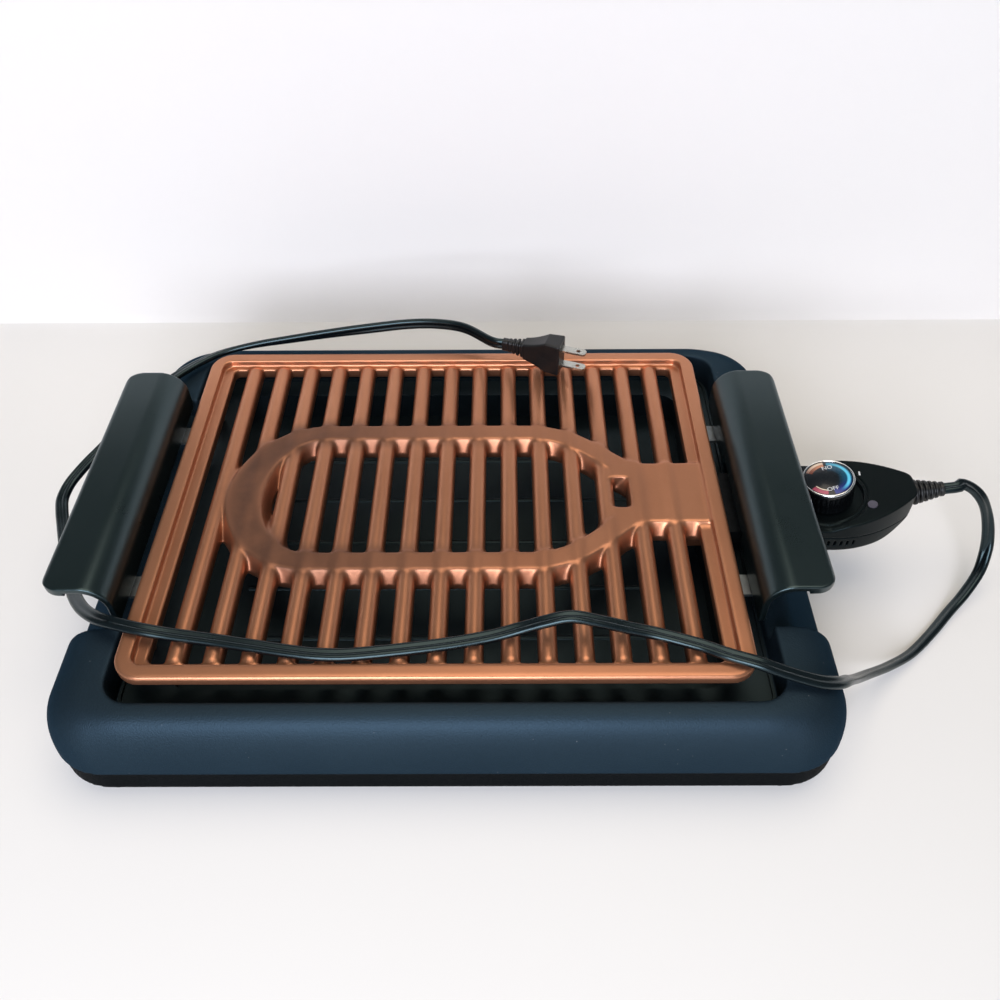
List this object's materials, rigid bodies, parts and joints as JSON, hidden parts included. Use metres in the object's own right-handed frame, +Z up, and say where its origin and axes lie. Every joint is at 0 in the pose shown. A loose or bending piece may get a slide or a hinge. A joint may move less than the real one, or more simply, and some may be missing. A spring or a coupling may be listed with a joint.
{
  "type": "electric indoor grill",
  "caption": "Open electric tabletop grill: slotted cast plate with an element ring, drip tray, two handles, base on feet, and a plug-in thermostat control with its cord.",
  "frame": {"origin": "middle of the grill and its control, without the cord, at the bottom of the feet", "axes": "+X from the plain handle towards the control, +Y to the back, +Z up"},
  "size_m": [0.6182, 0.338, 0.1033],
  "materials": {
    "base_plastic": "fine texture",
    "foot_rubber": "matt",
    "tray_metal": "dark non-stick",
    "plate_cast": "copper-coloured non-stick",
    "element_steel": "heat darkened",
    "pin_metal": "plated",
    "ceramic": "glazed ceramic",
    "sheet_steel": "zinc plated",
    "handle_plastic": "satin",
    "control_plastic": "satin",
    "carrier_board": "moulded board",
    "contact_metal": "plain",
    "insulator": "matt",
    "bulb_glass": "clear",
    "lens_amber": "clear amber",
    "wire_cover": "soft",
    "dial_plastic": "gloss",
    "dial_metal": "bright",
    "dial_print": "printed",
    "cord_cover": "soft vinyl"
  },
  "bodies": {
    "base": {"base_shell": "base_plastic", "rubber_feet": "foot_rubber"},
    "tray": {"drip_tray": "tray_metal"},
    "plate": {"grill_plate": "plate_cast", "heating_element": "element_steel", "terminal_pins": "pin_metal", "pin_insulators": "ceramic", "terminal_guard": "sheet_steel", "guard_screws": "sheet_steel", "left_handle": "handle_plastic", "right_handle": "handle_plastic", "handle_brackets": "sheet_steel", "bracket_screws": "sheet_steel", "cord_run": "cord_cover", "plug_body": "cord_cover", "plug_blades": "pin_metal"},
    "control": {"control_top": "control_plastic", "control_bottom": "control_plastic", "housing_screws": "sheet_steel", "contact_carrier": "carrier_board", "contact_sleeves": "contact_metal", "sensor_probe": "pin_metal", "thermostat_bracket": "sheet_steel", "contact_springs": "contact_metal", "switch_insulator": "insulator", "lamp_bulb": "bulb_glass", "lamp_lens": "lens_amber", "lead_wires": "wire_cover", "strain_relief": "cord_cover", "cord_lead": "cord_cover"},
    "knob": {"dial_knob": "dial_plastic", "dial_ring": "dial_metal", "dial_face": "dial_print", "dial_spindle": "contact_metal"}
  },
  "joints": [
    {"name": "plate_lift", "type": "slide", "parent": "base", "child": "plate", "axis": [0, 0, 1], "range_m": [0, 0.12]},
    {"name": "tray_lift", "type": "slide", "parent": "base", "child": "tray", "axis": [0, 0, 1], "range_m": [0, 0.06]},
    {"name": "control_pull", "type": "slide", "parent": "plate", "child": "control", "axis": [1, 0, 0], "range_m": [0, 0.07]},
    {"name": "knob_turn", "type": "hinge", "parent": "control", "child": "knob", "pos_m": [0.19562, 0, 0.07236], "axis": [-0.1736, 0, 0.9848], "range_deg": [-200, 122]}
  ],
  "couplings": [
    {"joint": "tray_lift", "follows": "plate_lift", "ratio": 0.5}
  ]
}
